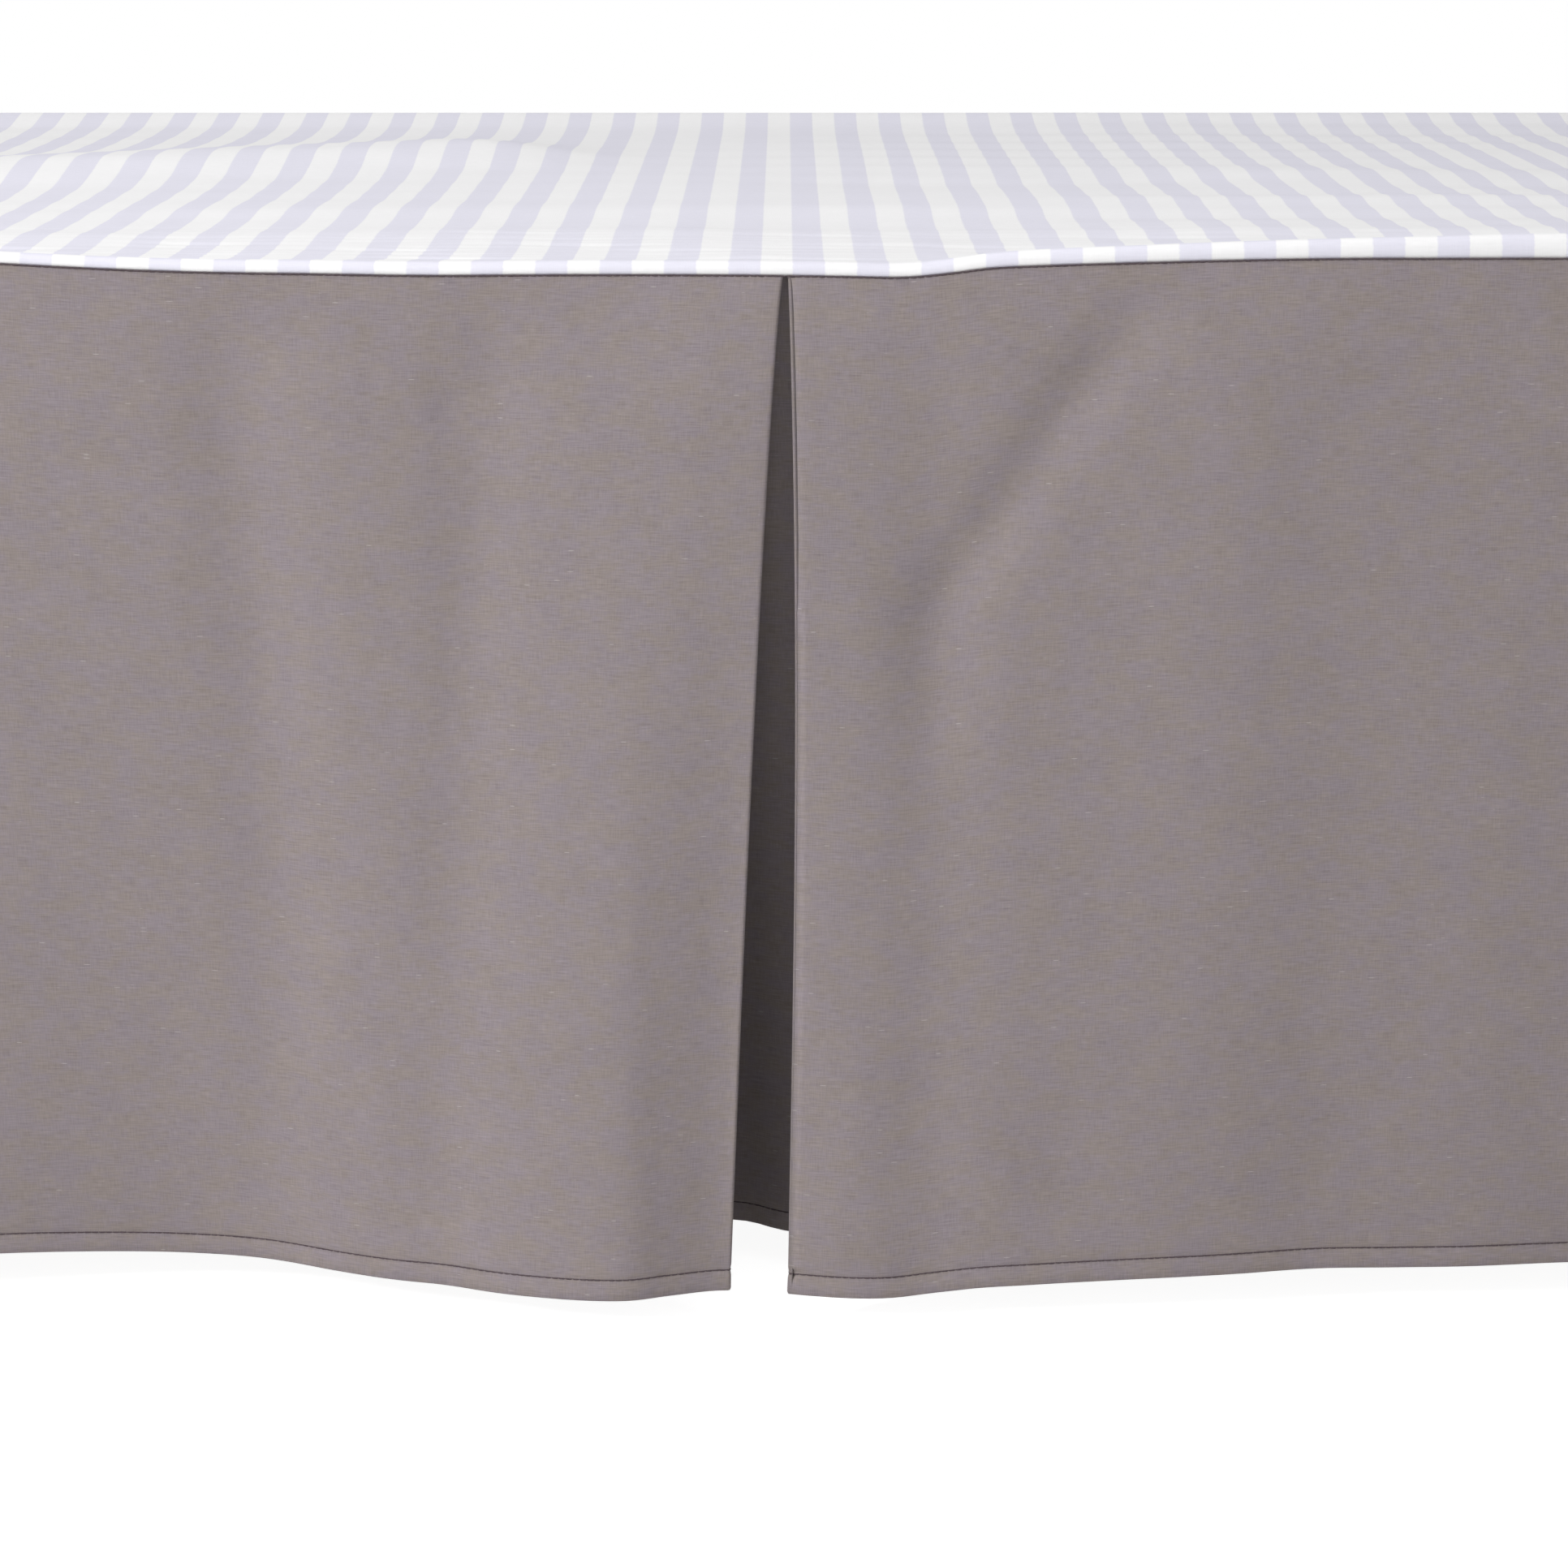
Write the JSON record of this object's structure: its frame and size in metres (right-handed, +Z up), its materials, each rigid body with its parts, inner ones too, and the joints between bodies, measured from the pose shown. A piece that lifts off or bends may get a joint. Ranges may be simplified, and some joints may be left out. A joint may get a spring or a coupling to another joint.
{
  "type": "bed skirt on a bed base",
  "caption": "Bed skirt with a striped deck and plain grey drops that hang to the floor, box-pleated at the middle of each long side, over a padded bed base on legs.",
  "frame": {"origin": "on the floor, under the middle of the bed", "axes": "+X along the bed to its right end, +Y to its back long side, +Z up; the front long side faces -Y"},
  "size_m": [1.3388, 0.7568, 0.4561],
  "materials": {
    "striped_cotton": "soft plain-woven cotton, white and pale lavender-grey stripes of equal width",
    "grey_cotton": "matt plain-woven cotton in warm grey, with fine horizontal slubs",
    "white_ticking": "plain white cotton cover over padding",
    "pale_wood": "pale wood, satin lacquer"
  },
  "bodies": {
    "root": {"deck": "striped_cotton", "drop_front": "grey_cotton", "drop_back": "grey_cotton", "drop_left": "grey_cotton", "drop_right": "grey_cotton", "base_pad": "white_ticking", "base_box": "pale_wood", "leg_front_left": "pale_wood", "leg_front_right": "pale_wood", "leg_back_left": "pale_wood", "leg_back_right": "pale_wood"}
  },
  "joints": []
}
